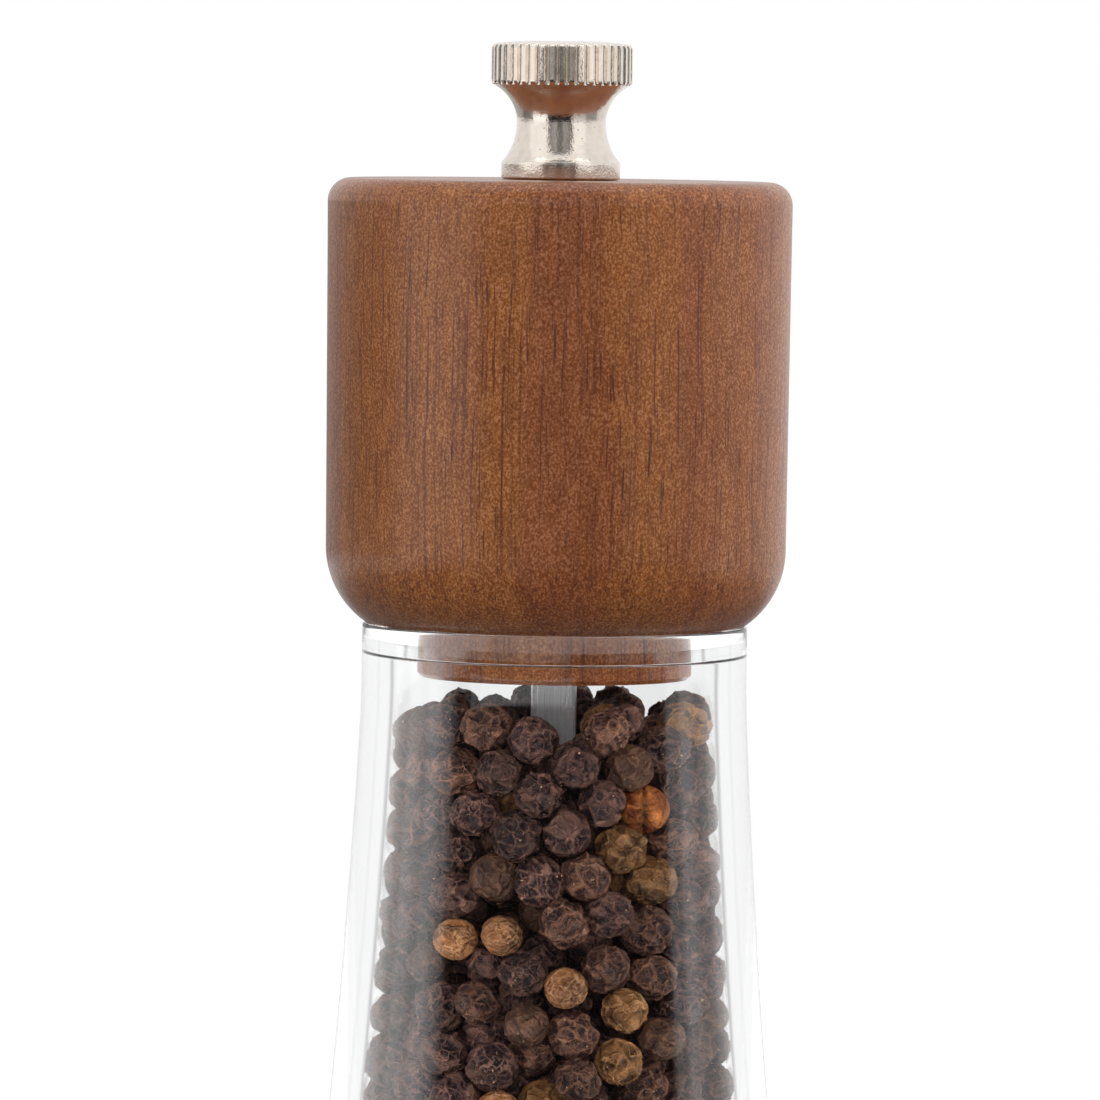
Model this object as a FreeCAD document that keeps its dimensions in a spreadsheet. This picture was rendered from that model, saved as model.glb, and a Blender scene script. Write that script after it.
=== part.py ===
"""Pepper mill with a clear flared body, a turned wooden head and a cone grinder in its foot.

Millimetres, +Z up, origin at the centre of the flat foot. Every driving size is a named cell of the
sheet "Dims", and every feature is bound to those cells by expressions.
"""
import FreeCAD, Part
import math
import os
import re

import Sketcher

# ---------------------------------------------------------------- driving dimensions

DIMENSIONS = {
    # clear body
    "rim_height": 104.3,
    "rim_round": 0.4,
    "collar_radius": 20.1,
    "blend_top": 98.7,
    "blend_radius": 100,
    "flare_top": 94.1,
    "flare_top_radius": 20.21,
    "flare_radius": 940,
    "foot_band": 2.6,
    "foot_radius": 29.15,
    "foot_chamfer": 0.6,
    "wall": 3.35,
    "mouth_radius": 14.5,
    "mouth_depth": 3.1,
    "lip_round": 1.0,
    "shoulder_height": 28,
    "chamber_foot_radius": 22.4,
    "socket_radius": 23,
    # wooden head
    "head_gap": 0.1,
    "head_top": 150.6,
    "head_radius": 24.2,
    "head_low_radius": 24.0,
    "head_low": 112.3,
    "under_radius": 9.61,
    "under_edge": 19.86,
    "head_round": 2.4,
    "plug_radius": 14.3,
    "plug_chamfer": 0.45,
    "plug_foot": 98.95,
    "shaft_bore": 3.5,
    "plate_recess": 1.05,
    # drive plate and its screws
    "plate_radius": 9,
    "plate_thick": 1,
    "plate_square": 4.9,
    "plate_screw_offset": 6.2,
    "plate_screw_radius": 1.1,
    "plate_screw_head": 2.0,
    "plate_screw_tip": 107.95,
    "screw_clearance": 0.03,
    # drive shaft
    "shaft_square": 4.76,
    "shaft_foot": 2.4,
    "square_foot": 7.9,
    "square_top": 146,
    "shaft_top": 161.2,
    "journal_radius": 2.3,
    "journal_chamfer": 0.4,
    "clip_groove_radius": 1.7,
    "clip_groove": 0.6,
    "thread_radius": 2.35,
    "thread_depth": 0.45,
    "thread_pitch": 0.8,
    "thread_turns": 17,
    # adjusting nut
    "nut_gap": 0.05,
    "nut_top": 165,
    "nut_bore": 2.42,
    "nut_bore_top": 162.4,
    "nut_foot_radius": 6.19,
    "nut_foot_chamfer": 0.18,
    "nut_foot_top": 152.3,
    "nut_cove_foot": 152.6,
    "nut_cove_radius": 6.0,
    "nut_waist": 156.5,
    "nut_waist_radius": 4.63,
    "nut_low_arc": 6.24,
    "nut_high_arc": 4.32,
    "nut_under": 160.35,
    "nut_under_radius": 6.85,
    "rim_foot": 160.95,
    "rim_top": 163.8,
    "nut_rim_radius": 7.36,
    "nut_shoulder": 164.4,
    "nut_shoulder_radius": 6.7,
    "nut_dome": 9,
    "nut_flat_radius": 3.5,
    "knurl_count": 44,
    "knurl_depth": 0.42,
    "knurl_width": 0.62,
    # grinder housing
    "housing_radius": 22.95,
    "housing_foot": 2,
    "skirt_inside": 21.4,
    "hopper_rim": 22,
    "hopper_foot": 19.6,
    "throat_radius": 12.9,
    "sleeve_radius": 15.6,
    "sleeve_foot": 5.2,
    "hopper_under_low": 17.2,
    "hopper_under_high": 22.6,
    "bridge_foot": 24.2,
    "bridge_top": 27.2,
    "arm_width": 2.2,
    "arm_reach": 20.5,
    "hub_radius": 6.4,
    "hub_bore": 4.6,
    "boss_radius": 2.6,
    "boss_top": 19.5,
    "rib_width": 1.4,
    "rib_foot": 8,
    # ring burr
    "ring_radius": 14,
    "ring_top": 18.2,
    "ring_outlet_radius": 12.6,
    "ring_fine_foot": 7.4,
    "ring_fine_foot_radius": 11.9,
    "ring_fine_top": 12.9,
    "ring_fine_top_radius": 10.3,
    "ring_inlet_radius": 12.5,
    "ring_teeth": 30,
    "ring_tooth_depth": 0.8,
    "ring_tooth_width": 1.5,
    "ring_coarse_teeth": 10,
    "ring_coarse_depth": 1.1,
    "ring_coarse_width": 3.2,
    # cone burr
    "rotor_foot_radius": 11.3,
    "rotor_fine_top": 12.4,
    "rotor_fine_top_radius": 10,
    "rotor_top": 17.1,
    "rotor_top_radius": 6.2,
    "rotor_teeth": 26,
    "rotor_tooth_depth": 0.9,
    "rotor_tooth_width": 1.8,
    "rotor_coarse_teeth": 7,
    "rotor_coarse_depth": 1.9,
    "rotor_coarse_width": 4.4,
    "fine_twist": 16,
    "coarse_twist": 32,
    "tooth_overrun": 0.3,
    "spiral_overrun": 1.2,
    # spring and its seat
    "seat_flange_radius": 5.6,
    "seat_flange_foot": 23.3,
    "seat_sleeve_radius": 4.55,
    "seat_square": 4.86,
    "running_gap": 0.05,
    "coil_radius": 4.1,
    "wire_radius": 0.4,
    "coil_turns": 4.25,
    "rotor_square": 4.8,
    # clip
    "clip_radius": 4.2,
    "clip_play": 0.02,
    "clip_mouth": 2.6,
    # retaining bar and its screws
    "bar_thick": 1.2,
    "bar_half_width": 3.4,
    "bar_hub_radius": 4.5,
    "bar_hub_thick": 1.8,
    "bar_bore": 2.35,
    "bar_screw_offset": 17.6,
    "bar_hole_radius": 1.45,
    "bar_screw_radius": 1.25,
    "bar_screw_head": 2.6,
    "bar_screw_head_thick": 1.4,
    "bar_screw_round": 0.7,
    "bar_screw_length": 9,
    "recess_length": 2.6,
    "recess_width": 0.7,
    "recess_depth": 0.7,
}

UP = FreeCAD.Vector(0, 0, 1)
ORIGIN_POINT = (-1, 1)

doc = FreeCAD.newDocument("pepper_mill")
sheet = doc.addObject("Spreadsheet::Sheet", "Dims")


def fill_sheet():
    """One row for each driving dimension: its name, and its value under that alias."""
    for row, (name, number) in enumerate(DIMENSIONS.items(), start=1):
        sheet.set(f"A{row}", name)
        sheet.set(f"B{row}", str(number))
        sheet.setAlias(f"B{row}", name)
    doc.recompute()


def cells(expression):
    """The expression with each dimension's name turned into a reference to its cell."""
    return re.sub(r"[a-z_]+", lambda word: refer(word.group()), str(expression))


def refer(word):
    """A dimension's name as the sheet knows it. Any other word stays."""
    return f"Dims.{word}" if word in DIMENSIONS else word


def size(expression):
    """The number that an expression of dimensions gives now."""
    return float(sheet.evalExpression(cells(expression)))


def bind(feature, prop, expression):
    feature.setExpression(prop, cells(expression))


# ---------------------------------------------------------------- sketches


def new_body(label):
    body = doc.addObject("PartDesign::Body", label)
    body.Label = label
    return body


def origin_feature(body, role):
    return next(feature for feature in body.Origin.OriginFeatures if feature.Role == role)


def new_sketch(body, name, role, height=None, turn=None):
    """Sketch on one of the body's own planes, raised by height and turned by turn degrees."""
    sketch = body.newObject("Sketcher::SketchObject", name)
    sketch.AttachmentSupport = [(origin_feature(body, role), "")]
    sketch.MapMode = "FlatFace"
    if turn is not None:
        sketch.AttachmentOffset = FreeCAD.Placement(FreeCAD.Vector(), FreeCAD.Rotation(UP, size(turn)))
        bind(sketch, "AttachmentOffset.Rotation.Angle", turn)
    if height is not None:
        bind(sketch, "AttachmentOffset.Base.z", height)
    return sketch


def hold_point(sketch, geo, vertex, across, up):
    """Fixes one vertex at two expressions, measured from the sketch's origin."""
    for kind, axis, expression in (("DistanceX", -2, across), ("DistanceY", -1, up)):
        number = size(expression)
        if abs(number) < 1e-9:
            sketch.addConstraint(Sketcher.Constraint("PointOnObject", geo, vertex, axis))
        elif number > 0:
            held = sketch.addConstraint(Sketcher.Constraint(kind, *ORIGIN_POINT, geo, vertex, number))
            bind(sketch, f"Constraints[{held}]", expression)
        else:
            held = sketch.addConstraint(Sketcher.Constraint(kind, geo, vertex, *ORIGIN_POINT, -number))
            bind(sketch, f"Constraints[{held}]", f"-({expression})")


def arc_between(start, end, radius, bulge):
    """Arc of a radius from start to end. bulge is 1 if it bends left of the way, -1 if right."""
    chord = end - start
    rise = math.sqrt(radius ** 2 - (chord.Length / 2) ** 2)
    sideways = FreeCAD.Vector(-chord.y, chord.x, 0).normalize()
    centre = (start + end) / 2 - sideways * rise * bulge
    angles = [math.atan2(point.y - centre.y, point.x - centre.x) for point in (start, end)]
    if bulge > 0:
        angles.reverse()
    return Part.ArcOfCircle(Part.Circle(centre, UP, radius), *angles)


def draw_outline(sketch, corners):
    """Closed outline. A corner is (across, up), or (across, up, radius, bulge) where an arc starts."""
    points = [FreeCAD.Vector(size(corner[0]), size(corner[1]), 0) for corner in corners]
    ends = []
    for index, corner in enumerate(corners):
        start, end = points[index], points[(index + 1) % len(points)]
        if len(corner) == 2:
            geo = sketch.addGeometry(Part.LineSegment(start, end))
            ends.append((geo, 1, 2))
        else:
            radius, bulge = corner[2:]
            geo = sketch.addGeometry(arc_between(start, end, size(radius), bulge))
            held = sketch.addConstraint(Sketcher.Constraint("Radius", geo, size(radius)))
            bind(sketch, f"Constraints[{held}]", radius)
            ends.append((geo, 2, 1) if bulge > 0 else (geo, 1, 2))
    for index, (geo, start_vertex, _) in enumerate(ends):
        before, _, end_vertex = ends[index - 1]
        sketch.addConstraint(Sketcher.Constraint("Coincident", before, end_vertex, geo, start_vertex))
        hold_point(sketch, geo, start_vertex, *corners[index][:2])


def draw_circle(sketch, radius, across="0", up="0"):
    centre = FreeCAD.Vector(size(across), size(up), 0)
    geo = sketch.addGeometry(Part.Circle(centre, UP, size(radius)))
    held = sketch.addConstraint(Sketcher.Constraint("Radius", geo, size(radius)))
    bind(sketch, f"Constraints[{held}]", radius)
    hold_point(sketch, geo, 3, across, up)


def draw_box(sketch, left, right, low, high):
    draw_outline(sketch, [(left, low), (right, low), (right, high), (left, high)])


def draw_square(sketch, side):
    half = f"({side}) / 2"
    draw_box(sketch, f"-{half}", half, f"-{half}", half)


# ---------------------------------------------------------------- features


def turned(body, name, corners, kind="Revolution"):
    """Full turn of an outline about the body's Z axis, added or (kind Groove) cut away."""
    sketch = new_sketch(body, name + "_outline", "XZ_Plane")
    draw_outline(sketch, corners)
    feature = body.newObject(f"PartDesign::{kind}", name)
    feature.Profile = sketch
    feature.ReferenceAxis = (sketch, ["V_Axis"])
    feature.Angle = 360
    return finish_feature(body, feature)


def raised(body, name, foot, top, draw):
    """Pad between two heights, of what draw puts on its sketch."""
    sketch = new_sketch(body, name + "_outline", "XY_Plane", foot)
    draw(sketch)
    pad = body.newObject("PartDesign::Pad", name)
    pad.Profile = sketch
    bind(pad, "Length", f"({top}) - ({foot})")
    return finish_feature(body, pad)


def sunk(body, name, top, foot, draw):
    """Pocket from one height down to another, of what draw puts on its sketch."""
    sketch = new_sketch(body, name + "_outline", "XY_Plane", top)
    draw(sketch)
    pocket = body.newObject("PartDesign::Pocket", name)
    pocket.Profile = sketch
    bind(pocket, "Length", f"({top}) - ({foot})")
    return finish_feature(body, pocket)


def finish_feature(body, feature):
    body.Tip = feature
    doc.recompute()
    return feature


def around(body, name, features, count):
    """Copies of the features all round the body's Z axis."""
    pattern = body.newObject("PartDesign::PolarPattern", name)
    pattern.Originals = features
    pattern.Axis = (origin_feature(body, "Z_Axis"), [""])
    pattern.Angle = 360
    bind(pattern, "Occurrences", count)
    return finish_feature(body, pattern)


def tooth_gap(body, name, low, high, width, twist):
    """Cut between two triangles. low and high are (height, mouth radius, apex radius)."""
    sketches = []
    for level, (height, mouth, apex), turn in (("low", low, "0"), ("high", high, twist)):
        sketch = new_sketch(body, f"{name}_{level}", "XY_Plane", height, turn)
        draw_outline(sketch, [(mouth, f"-({width}) / 2"), (mouth, f"({width}) / 2"), (apex, "0")])
        sketches.append(sketch)
    cut = body.newObject("PartDesign::SubtractiveLoft", name)
    cut.Profile = sketches[0]
    cut.Sections = [sketches[1]]
    cut.Ruled = True
    return finish_feature(body, cut)


def grouped(label, *members):
    """One node of separate solids."""
    group = doc.addObject("Part::Compound", label)
    group.Label = label
    group.Links = list(members)
    doc.recompute()
    return group


def opposite(screw):
    """The same screw on the other side of the axis."""
    mirror = doc.addObject("Part::Mirroring", screw.Name + "_opposite")
    mirror.Source = screw
    mirror.Normal = (1, 0, 0)
    return mirror


# ---------------------------------------------------------------- body, head and nut


def make_clear_body():
    body = new_body("clear_body")
    turned(body, "moulding", [
        ("socket_radius + foot_chamfer", "0"),
        ("foot_radius - foot_chamfer", "0"),
        ("foot_radius", "foot_chamfer"),
        ("foot_radius", "foot_band", "flare_radius", 1),
        ("flare_top_radius", "flare_top", "blend_radius", 1),
        ("collar_radius", "blend_top"),
        ("collar_radius", "rim_height - rim_round", "rim_round", -1),
        ("collar_radius - rim_round", "rim_height"),
        ("mouth_radius + rim_round", "rim_height", "rim_round", -1),
        ("mouth_radius", "rim_height - rim_round"),
        ("mouth_radius", "rim_height - mouth_depth"),
        ("collar_radius - wall - lip_round", "rim_height - mouth_depth", "lip_round", 1),
        ("collar_radius - wall", "rim_height - mouth_depth - lip_round"),
        ("collar_radius - wall", "blend_top", "blend_radius + wall", -1),
        ("flare_top_radius - wall", "flare_top", "flare_radius + wall", -1),
        ("chamber_foot_radius", "shoulder_height"),
        ("socket_radius", "shoulder_height"),
        ("socket_radius", "foot_chamfer"),
    ])
    return body


def make_wooden_head():
    body = new_body("wooden_head")
    turned(body, "turning", [
        ("plate_radius + head_gap", "plug_foot"),
        ("plug_radius - plug_chamfer", "plug_foot"),
        ("plug_radius", "plug_foot + plug_chamfer"),
        ("plug_radius", "rim_height + head_gap"),
        ("under_edge", "rim_height + head_gap", "under_radius", -1),
        ("head_low_radius", "head_low"),
        ("head_radius", "head_top - head_round", "head_round", -1),
        ("head_radius - head_round", "head_top"),
        ("shaft_bore", "head_top"),
        ("shaft_bore", "plug_foot + plate_recess"),
        ("plate_radius + head_gap", "plug_foot + plate_recess"),
    ])
    pilot = sunk(body, "pilot_hole", "plate_screw_tip + head_gap", "plug_foot",
                 lambda sketch: draw_circle(sketch, "plate_screw_radius + screw_clearance",
                                            "plate_screw_offset"))
    around(body, "pilot_holes", [pilot], "2")
    return body


def make_adjusting_nut():
    body = new_body("adjusting_nut")
    turned(body, "turning", [
        ("nut_bore", "head_top + nut_gap"),
        ("nut_foot_radius - nut_foot_chamfer", "head_top + nut_gap"),
        ("nut_foot_radius", "head_top + nut_gap + nut_foot_chamfer"),
        ("nut_foot_radius", "nut_foot_top"),
        ("nut_cove_radius", "nut_cove_foot", "nut_low_arc", 1),
        ("nut_waist_radius", "nut_waist", "nut_high_arc", 1),
        ("nut_under_radius", "nut_under"),
        ("nut_rim_radius", "rim_foot"),
        ("nut_rim_radius", "rim_top"),
        ("nut_shoulder_radius", "nut_shoulder", "nut_dome", -1),
        ("nut_flat_radius", "nut_top"),
        ("0", "nut_top"),
        ("0", "nut_bore_top"),
        ("nut_bore", "nut_bore_top"),
    ])
    notch = sunk(body, "knurl_notch", "nut_top", "nut_under",
                 lambda sketch: draw_outline(sketch, [
                     ("nut_rim_radius + knurl_depth", "-knurl_width"),
                     ("nut_rim_radius + knurl_depth", "knurl_width"),
                     ("nut_rim_radius - knurl_depth", "0"),
                 ]))
    around(body, "knurl", [notch], "knurl_count")
    return body


# ---------------------------------------------------------------- drive plate and shaft


def make_drive_plate():
    body = new_body("drive_plate")
    foot = "plug_foot + plate_recess - plate_thick"
    top = "plug_foot + plate_recess"
    raised(body, "disc", foot, top, lambda sketch: draw_circle(sketch, "plate_radius"))
    sunk(body, "square_hole", top, foot, lambda sketch: draw_square(sketch, "plate_square"))
    countersink = body.newObject("PartDesign::SubtractiveCone", "countersink")
    countersink.AttachmentSupport = [(origin_feature(body, "XY_Plane"), "")]
    countersink.MapMode = "FlatFace"
    bind(countersink, "AttachmentOffset.Base.x", "plate_screw_offset")
    bind(countersink, "AttachmentOffset.Base.z", foot)
    bind(countersink, "Radius1", "plate_screw_head + screw_clearance")
    bind(countersink, "Radius2", "plate_screw_radius + screw_clearance")
    bind(countersink, "Height", "plate_thick")
    finish_feature(body, countersink)
    around(body, "screw_holes", [countersink], "2")
    return body


def make_plate_screws():
    """Two countersunk wood screws with tapered points."""
    screw = new_body("plate_screw")
    foot = "plug_foot + plate_recess - plate_thick"
    turned(screw, "turning", [
        ("0", foot),
        ("plate_screw_head", foot),
        ("plate_screw_radius", f"{foot} + plate_thick"),
        ("plate_screw_radius", "plate_screw_tip - plate_screw_radius * 2"),
        ("0", "plate_screw_tip"),
    ])
    sunk(screw, "driver_recess", f"{foot} + recess_depth", foot, draw_cross)
    bind(screw, "Placement.Base.x", "plate_screw_offset")
    return grouped("plate_screws", screw, opposite(screw))


def draw_cross(sketch):
    """Plus-shaped driver recess."""
    long, short = "recess_length / 2", "recess_width / 2"
    draw_outline(sketch, [
        (f"-{long}", f"-{short}"), (f"-{short}", f"-{short}"), (f"-{short}", f"-{long}"),
        (short, f"-{long}"), (short, f"-{short}"), (long, f"-{short}"),
        (long, short), (short, short), (short, long),
        (f"-{short}", long), (f"-{short}", short), (f"-{long}", short),
    ])


def make_drive_shaft():
    body = new_body("drive_shaft")
    raised(body, "square_rod", "square_foot", "square_top",
           lambda sketch: draw_square(sketch, "shaft_square"))
    turned(body, "journal", [
        ("0", "shaft_foot"),
        ("journal_radius - journal_chamfer", "shaft_foot"),
        ("journal_radius", "shaft_foot + journal_chamfer"),
        ("journal_radius", "square_foot - clip_groove"),
        ("clip_groove_radius", "square_foot - clip_groove"),
        ("clip_groove_radius", "square_foot"),
        ("0", "square_foot"),
    ])
    turned(body, "threaded_end", [
        ("0", "square_top"),
        ("thread_radius", "square_top"),
        ("thread_radius", "shaft_top - thread_depth"),
        ("thread_radius - thread_depth", "shaft_top"),
        ("0", "shaft_top"),
    ])
    root = "thread_radius - thread_depth"
    foot = "square_top + thread_pitch"
    turn = turned(body, "thread_turn", [
        (root, f"{foot} + thread_pitch * 0.5"),
        ("thread_radius + thread_depth", f"{foot} - thread_pitch * 0.5"),
        ("thread_radius + thread_depth", f"{foot} + thread_pitch * 1.5"),
    ], kind="Groove")
    thread = body.newObject("PartDesign::LinearPattern", "thread")
    thread.Originals = [turn]
    thread.Direction = (origin_feature(body, "Z_Axis"), [""])
    bind(thread, "Length", "thread_pitch * (thread_turns - 1)")
    bind(thread, "Occurrences", "thread_turns")
    finish_feature(body, thread)
    return body


# ---------------------------------------------------------------- grinder


def make_grinder_housing():
    """Skirt, hopper and sleeve in one moulding, with a bridge over the hopper and screw bosses below."""
    body = new_body("grinder_housing")
    turned(body, "shell", [
        ("skirt_inside", "housing_foot"),
        ("housing_radius", "housing_foot"),
        ("housing_radius", "shoulder_height"),
        ("hopper_rim", "shoulder_height"),
        ("throat_radius", "hopper_foot"),
        ("throat_radius", "ring_top"),
        ("ring_radius + running_gap", "ring_top"),
        ("ring_radius + running_gap", "sleeve_foot"),
        ("sleeve_radius", "sleeve_foot"),
        ("sleeve_radius", "hopper_under_low"),
        ("skirt_inside", "hopper_under_high"),
    ])
    raised(body, "hub", "bridge_foot", "bridge_top", lambda sketch: draw_circle(sketch, "hub_radius"))
    arm = raised(body, "arm", "bridge_foot", "bridge_top",
                 lambda sketch: draw_box(sketch, "0", "arm_reach", "-arm_width / 2", "arm_width / 2"))
    around(body, "bridge", [arm], "3")
    sunk(body, "bearing_bore", "bridge_top", "bridge_foot", lambda sketch: draw_circle(sketch, "hub_bore"))
    boss = raised(body, "boss", "sleeve_foot", "boss_top",
                  lambda sketch: draw_circle(sketch, "boss_radius", "bar_screw_offset"))
    around(body, "bosses", [boss], "2")
    rib_side = "rib_width / 2"
    rib = raised(body, "rib", "rib_foot", "boss_top",
                 lambda sketch: draw_outline(sketch, [
                     (f"-{rib_side}", "sleeve_radius - rib_width / 2"),
                     (rib_side, "sleeve_radius - rib_width / 2"),
                     (rib_side, "skirt_inside + rib_width / 2"),
                     (f"-{rib_side}", "skirt_inside + rib_width / 2"),
                 ]))
    around(body, "ribs", [rib], "6")
    pilot = sunk(body, "pilot_hole", "sleeve_foot + bar_screw_length", "sleeve_foot",
                 lambda sketch: draw_circle(sketch, "bar_screw_radius + screw_clearance",
                                            "bar_screw_offset"))
    around(body, "pilot_holes", [pilot], "2")
    return body


def make_stator_ring():
    """Ring burr: wide inlet above, a fine cone below that opens downwards."""
    body = new_body("stator_ring")
    turned(body, "ring", [
        ("ring_outlet_radius", "sleeve_foot"),
        ("ring_radius", "sleeve_foot"),
        ("ring_radius", "ring_top"),
        ("ring_inlet_radius", "ring_top"),
        ("ring_fine_top_radius", "ring_fine_top"),
        ("ring_fine_foot_radius", "ring_fine_foot"),
    ])
    inward = "tooth_overrun"
    fine = tooth_gap(
        body, "fine_gap",
        ("ring_fine_foot - tooth_overrun", f"ring_fine_foot_radius - {inward}",
         "ring_fine_foot_radius + ring_tooth_depth"),
        ("ring_fine_top", f"ring_fine_top_radius - {inward}",
         "ring_fine_top_radius + ring_tooth_depth"),
        "ring_tooth_width", "-fine_twist")
    around(body, "fine_teeth", [fine], "ring_teeth")
    coarse = tooth_gap(
        body, "coarse_gap",
        ("ring_fine_top", f"ring_fine_top_radius - {inward}",
         "ring_fine_top_radius + ring_coarse_depth"),
        ("ring_top + tooth_overrun", f"ring_inlet_radius - {inward}",
         "ring_inlet_radius + ring_coarse_depth"),
        "ring_coarse_width", "-coarse_twist / 2")
    around(body, "coarse_teeth", [coarse], "ring_coarse_teeth")
    return body


def make_rotor_burr():
    """Cone burr: fine helical teeth round its wide foot, deep feed spirals above."""
    body = new_body("rotor_burr")
    turned(body, "cone", [
        ("0", "square_foot"),
        ("rotor_foot_radius", "square_foot"),
        ("rotor_fine_top_radius", "rotor_fine_top"),
        ("rotor_top_radius", "rotor_top"),
        ("0", "rotor_top"),
    ])
    outward = "tooth_overrun"
    fine = tooth_gap(
        body, "fine_gap",
        ("square_foot - tooth_overrun", f"rotor_foot_radius + {outward}",
         "rotor_foot_radius - rotor_tooth_depth"),
        ("rotor_fine_top + tooth_overrun", f"rotor_fine_top_radius + {outward}",
         "rotor_fine_top_radius - rotor_tooth_depth"),
        "rotor_tooth_width", "fine_twist")
    around(body, "fine_teeth", [fine], "rotor_teeth")
    coarse = tooth_gap(
        body, "feed_gap",
        ("rotor_fine_top - tooth_overrun", "rotor_fine_top_radius + spiral_overrun",
         "rotor_fine_top_radius - tooth_overrun"),
        ("rotor_top + tooth_overrun", "rotor_top_radius + spiral_overrun",
         "rotor_top_radius - rotor_coarse_depth / 2"),
        "rotor_coarse_width", "coarse_twist")
    around(body, "feed_spirals", [coarse], "rotor_coarse_teeth")
    sunk(body, "square_hole", "rotor_top + tooth_overrun", "square_foot - tooth_overrun",
         lambda sketch: draw_square(sketch, "rotor_square"))
    return body


def make_spring_seat():
    """Flanged bush with a square hole: its sleeve runs in the bridge's hub."""
    body = new_body("spring_seat")
    turned(body, "bush", [
        ("0", "seat_flange_foot"),
        ("seat_flange_radius", "seat_flange_foot"),
        ("seat_flange_radius", "bridge_foot - running_gap"),
        ("seat_sleeve_radius", "bridge_foot - running_gap"),
        ("seat_sleeve_radius", "bridge_top"),
        ("0", "bridge_top"),
    ])
    sunk(body, "square_hole", "bridge_top", "seat_flange_foot",
         lambda sketch: draw_square(sketch, "seat_square"))
    return body


def make_rotor_spring():
    """Helical compression spring, both ends ground flat."""
    foot, top = "rotor_top + clip_play", "seat_flange_foot - clip_play"
    helix = doc.addObject("Part::Helix", "spring_line")
    bind(helix, "Radius", "coil_radius")
    bind(helix, "Height", f"({top}) - ({foot}) - wire_radius")
    bind(helix, "Pitch", f"(({top}) - ({foot}) - wire_radius) / coil_turns")
    bind(helix, "Placement.Base.z", f"{foot} + wire_radius / 2")
    wire = doc.addObject("Part::Circle", "wire_section")
    bind(wire, "Radius", "wire_radius")
    wire.Placement = FreeCAD.Placement(FreeCAD.Vector(), FreeCAD.Rotation(FreeCAD.Vector(1, 0, 0), 90))
    bind(wire, "Placement.Base.x", "coil_radius")
    bind(wire, "Placement.Base.z", f"{foot} + wire_radius / 2")
    coil = doc.addObject("Part::Sweep", "coil")
    coil.Sections = [wire]
    coil.Spine = (helix, ["Edge1"])
    coil.Solid = True
    coil.Frenet = True
    space = doc.addObject("Part::Cylinder", "spring_space")
    bind(space, "Radius", "coil_radius + wire_radius * 2")
    bind(space, "Height", f"({top}) - ({foot})")
    bind(space, "Placement.Base.z", foot)
    spring = doc.addObject("Part::Common", "rotor_spring")
    spring.Label = "rotor_spring"
    spring.Base = coil
    spring.Tool = space
    doc.recompute()
    return spring


def make_shaft_clip():
    """Open ring that snaps into the shaft's groove from the side."""
    body = new_body("shaft_clip")
    foot = "square_foot - clip_groove + clip_play"
    top = "square_foot - clip_play"
    raised(body, "ring", foot, top, lambda sketch: draw_circle(sketch, "clip_radius"))
    sunk(body, "bore", top, foot, lambda sketch: draw_circle(sketch, "clip_groove_radius + clip_play"))
    sunk(body, "opening", top, foot,
         lambda sketch: draw_box(sketch, "0", "clip_radius + 1", "-clip_mouth / 2", "clip_mouth / 2"))
    return body


def make_retaining_bar():
    """Round-ended strip with a thicker hub that guides the shaft's end."""
    body = new_body("retaining_bar")
    foot = "sleeve_foot - bar_thick"

    def strip(sketch):
        draw_outline(sketch, [
            ("-bar_screw_offset", "-bar_half_width"),
            ("bar_screw_offset", "-bar_half_width", "bar_half_width + clip_play", -1),
            ("bar_screw_offset", "bar_half_width"),
            ("-bar_screw_offset", "bar_half_width", "bar_half_width + clip_play", -1),
        ])

    raised(body, "strip", foot, "sleeve_foot", strip)
    raised(body, "hub", "sleeve_foot - bar_hub_thick", "sleeve_foot",
           lambda sketch: draw_circle(sketch, "bar_hub_radius"))
    sunk(body, "shaft_hole", "sleeve_foot", "sleeve_foot - bar_hub_thick",
         lambda sketch: draw_circle(sketch, "bar_bore"))
    hole = sunk(body, "screw_hole", "sleeve_foot", foot,
                lambda sketch: draw_circle(sketch, "bar_hole_radius", "bar_screw_offset"))
    around(body, "screw_holes", [hole], "2")
    return body


def make_bar_screws():
    """Two pan-head screws, driven from below."""
    screw = new_body("bar_screw")
    seat = "sleeve_foot - bar_thick"
    turned(screw, "turning", [
        ("0", f"{seat} - bar_screw_head_thick"),
        ("bar_screw_head - bar_screw_round", f"{seat} - bar_screw_head_thick", "bar_screw_round", -1),
        ("bar_screw_head", f"{seat} - bar_screw_head_thick + bar_screw_round"),
        ("bar_screw_head", seat),
        ("bar_screw_radius", seat),
        ("bar_screw_radius", f"{seat} + bar_screw_length - bar_screw_radius"),
        ("0", f"{seat} + bar_screw_length"),
    ])
    sunk(screw, "driver_recess", f"{seat} - bar_screw_head_thick + recess_depth",
         f"{seat} - bar_screw_head_thick", draw_cross)
    bind(screw, "Placement.Base.x", "bar_screw_offset")
    return grouped("bar_screws", screw, opposite(screw))


# ---------------------------------------------------------------- checks and files


def check_document(nodes):
    """Stops before anything is written if a feature failed or a node has no sound solid."""
    for item in doc.Objects:
        if {"Invalid", "Error"} & set(item.State):
            raise RuntimeError(f"{item.Label} failed: {item.State}")
    for node in nodes:
        if node.Shape.isNull() or not node.Shape.isValid() or not node.Shape.Solids:
            raise RuntimeError(f"{node.Label} has no valid solid")


def write_nodes(nodes):
    os.makedirs("parts", exist_ok=True)
    for node in nodes:
        node.Shape.exportStep(f"parts/{node.Label}.step")
        box = node.Shape.BoundBox
        print(f"{node.Label}: {len(node.Shape.Solids)} solid, {node.Shape.Volume:.1f} mm3, "
              f"z {box.ZMin:.2f} to {box.ZMax:.2f}, radius {max(box.XMax, box.YMax):.2f}")


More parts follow.
